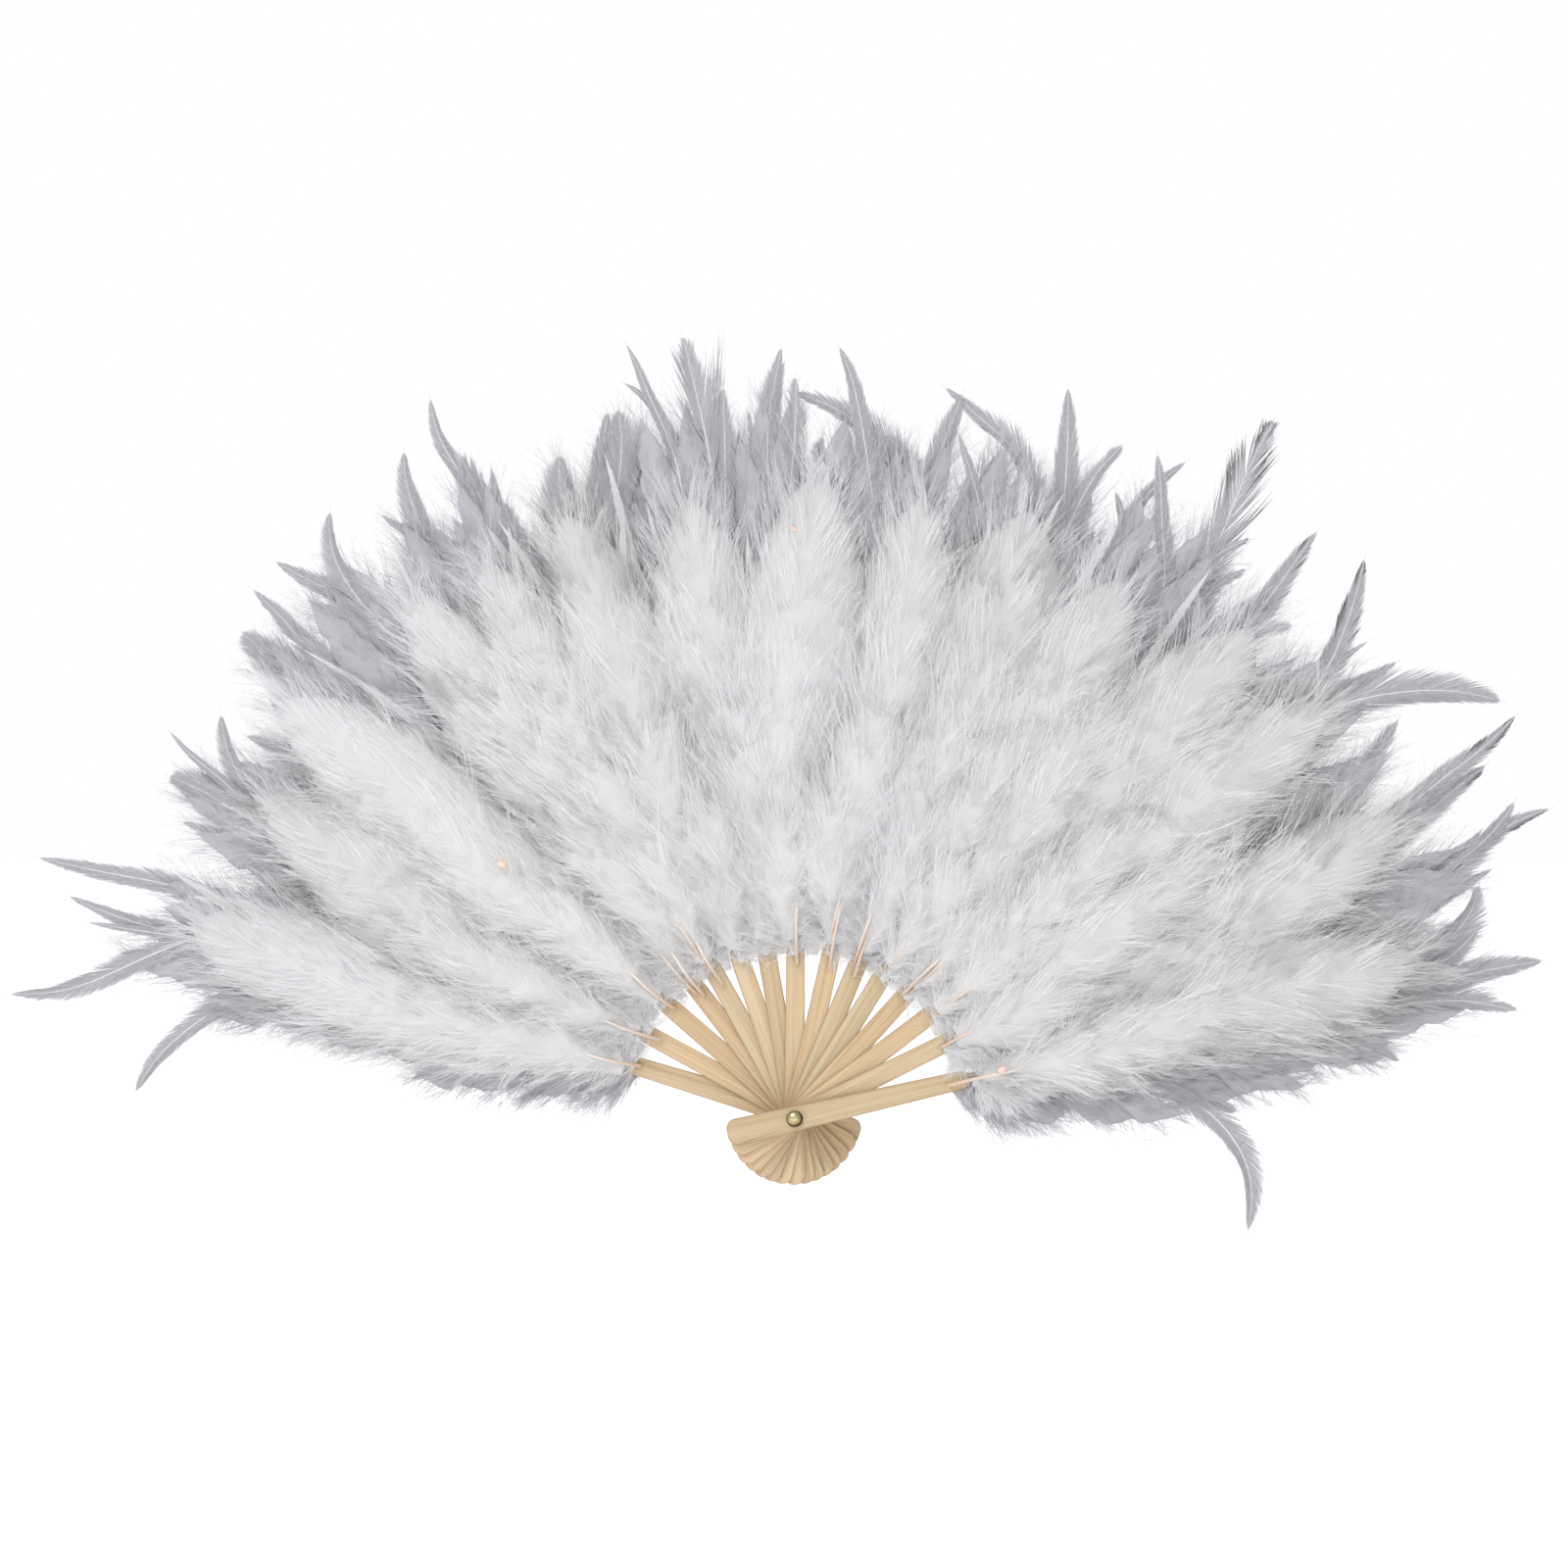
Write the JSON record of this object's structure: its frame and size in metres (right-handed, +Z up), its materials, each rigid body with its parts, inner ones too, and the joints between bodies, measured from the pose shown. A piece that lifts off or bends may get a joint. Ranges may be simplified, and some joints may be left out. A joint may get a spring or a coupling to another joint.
{
  "type": "feather fan",
  "caption": "Folding hand fan of slim bamboo staves on a domed brass rivet, each stave carrying a fluffy white marabou plume and pointed grey hackle feathers.",
  "frame": {"origin": "centre of the rivet's flat rear head, on the axis that the staves fold about", "axes": "+X across the open fan to the right as seen from the front, +Y out of its back, +Z up from the rivet through the middle stave"},
  "size_m": [0.4527, 0.0317, 0.2637],
  "materials": {
    "bamboo": "pale planed bamboo, lightly polished",
    "brass": "polished",
    "marabou": "soft white down",
    "hackle": "smooth grey vane with a pale shaft",
    "ribbon": "white satin"
  },
  "bodies": {
    "rear_guard": {"rear_guard": "bamboo", "rivet": "brass", "washer": "brass", "link_ribbon": "ribbon", "marabou_plume_01": "marabou", "hackle_feathers_01": "hackle"},
    "stave_02": {"stave_02": "bamboo", "marabou_plume_02": "marabou", "hackle_feathers_02": "hackle"},
    "stave_03": {"stave_03": "bamboo", "marabou_plume_03": "marabou", "hackle_feathers_03": "hackle"},
    "stave_04": {"stave_04": "bamboo", "marabou_plume_04": "marabou", "hackle_feathers_04": "hackle"},
    "stave_05": {"stave_05": "bamboo", "marabou_plume_05": "marabou", "hackle_feathers_05": "hackle"},
    "stave_06": {"stave_06": "bamboo", "marabou_plume_06": "marabou", "hackle_feathers_06": "hackle"},
    "stave_07": {"stave_07": "bamboo", "marabou_plume_07": "marabou", "hackle_feathers_07": "hackle"},
    "stave_08": {"stave_08": "bamboo", "marabou_plume_08": "marabou", "hackle_feathers_08": "hackle"},
    "stave_09": {"stave_09": "bamboo", "marabou_plume_09": "marabou", "hackle_feathers_09": "hackle"},
    "stave_10": {"stave_10": "bamboo", "marabou_plume_10": "marabou", "hackle_feathers_10": "hackle"},
    "stave_11": {"stave_11": "bamboo", "marabou_plume_11": "marabou", "hackle_feathers_11": "hackle"},
    "stave_12": {"stave_12": "bamboo", "marabou_plume_12": "marabou", "hackle_feathers_12": "hackle"},
    "stave_13": {"stave_13": "bamboo", "marabou_plume_13": "marabou", "hackle_feathers_13": "hackle"},
    "stave_14": {"stave_14": "bamboo", "marabou_plume_14": "marabou", "hackle_feathers_14": "hackle"},
    "front_guard": {"front_guard": "bamboo", "marabou_plume_15": "marabou", "hackle_feathers_15": "hackle", "drooping_feather": "hackle"}
  },
  "joints": [
    {"name": "fan_fold", "type": "hinge", "parent": "rear_guard", "child": "front_guard", "pos_m": [0, 0, 0], "axis": [0, -1, 0], "range_deg": [0, 150.1], "deforming": ["link_ribbon", "marabou_plume_01", "marabou_plume_15"]},
    {"name": "stave_02_fold", "type": "hinge", "parent": "rear_guard", "child": "stave_02", "pos_m": [0, 0, 0], "axis": [0, -1, 0], "range_deg": [0, 11.8], "deforming": ["marabou_plume_02"]},
    {"name": "stave_03_fold", "type": "hinge", "parent": "rear_guard", "child": "stave_03", "pos_m": [0, 0, 0], "axis": [0, -1, 0], "range_deg": [0, 24.1], "deforming": ["marabou_plume_03"]},
    {"name": "stave_04_fold", "type": "hinge", "parent": "rear_guard", "child": "stave_04", "pos_m": [0, 0, 0], "axis": [0, -1, 0], "range_deg": [0, 35.5], "deforming": ["marabou_plume_04"]},
    {"name": "stave_05_fold", "type": "hinge", "parent": "rear_guard", "child": "stave_05", "pos_m": [0, 0, 0], "axis": [0, -1, 0], "range_deg": [0, 44], "deforming": ["marabou_plume_05"]},
    {"name": "stave_06_fold", "type": "hinge", "parent": "rear_guard", "child": "stave_06", "pos_m": [0, 0, 0], "axis": [0, -1, 0], "range_deg": [0, 54], "deforming": ["marabou_plume_06"]},
    {"name": "stave_07_fold", "type": "hinge", "parent": "rear_guard", "child": "stave_07", "pos_m": [0, 0, 0], "axis": [0, -1, 0], "range_deg": [0, 63.5], "deforming": ["marabou_plume_07"]},
    {"name": "stave_08_fold", "type": "hinge", "parent": "rear_guard", "child": "stave_08", "pos_m": [0, 0, 0], "axis": [0, -1, 0], "range_deg": [0, 73.5], "deforming": ["marabou_plume_08"]},
    {"name": "stave_09_fold", "type": "hinge", "parent": "rear_guard", "child": "stave_09", "pos_m": [0, 0, 0], "axis": [0, -1, 0], "range_deg": [0, 85.8], "deforming": ["marabou_plume_09"]},
    {"name": "stave_10_fold", "type": "hinge", "parent": "rear_guard", "child": "stave_10", "pos_m": [0, 0, 0], "axis": [0, -1, 0], "range_deg": [0, 95.6], "deforming": ["marabou_plume_10"]},
    {"name": "stave_11_fold", "type": "hinge", "parent": "rear_guard", "child": "stave_11", "pos_m": [0, 0, 0], "axis": [0, -1, 0], "range_deg": [0, 105.1], "deforming": ["marabou_plume_11"]},
    {"name": "stave_12_fold", "type": "hinge", "parent": "rear_guard", "child": "stave_12", "pos_m": [0, 0, 0], "axis": [0, -1, 0], "range_deg": [0, 115.4], "deforming": ["marabou_plume_12"]},
    {"name": "stave_13_fold", "type": "hinge", "parent": "rear_guard", "child": "stave_13", "pos_m": [0, 0, 0], "axis": [0, -1, 0], "range_deg": [0, 126], "deforming": ["marabou_plume_13"]},
    {"name": "stave_14_fold", "type": "hinge", "parent": "rear_guard", "child": "stave_14", "pos_m": [0, 0, 0], "axis": [0, -1, 0], "range_deg": [0, 136.7], "deforming": ["marabou_plume_14"]}
  ],
  "couplings": [
    {"joint": "stave_02_fold", "follows": "fan_fold", "ratio": 0.077948},
    {"joint": "stave_03_fold", "follows": "fan_fold", "ratio": 0.15989},
    {"joint": "stave_04_fold", "follows": "fan_fold", "ratio": 0.23584},
    {"joint": "stave_05_fold", "follows": "fan_fold", "ratio": 0.29247},
    {"joint": "stave_06_fold", "follows": "fan_fold", "ratio": 0.35909},
    {"joint": "stave_07_fold", "follows": "fan_fold", "ratio": 0.42239},
    {"joint": "stave_08_fold", "follows": "fan_fold", "ratio": 0.48901},
    {"joint": "stave_09_fold", "follows": "fan_fold", "ratio": 0.57095},
    {"joint": "stave_10_fold", "follows": "fan_fold", "ratio": 0.63624},
    {"joint": "stave_11_fold", "follows": "fan_fold", "ratio": 0.69953},
    {"joint": "stave_12_fold", "follows": "fan_fold", "ratio": 0.76816},
    {"joint": "stave_13_fold", "follows": "fan_fold", "ratio": 0.83877},
    {"joint": "stave_14_fold", "follows": "fan_fold", "ratio": 0.91006}
  ]
}
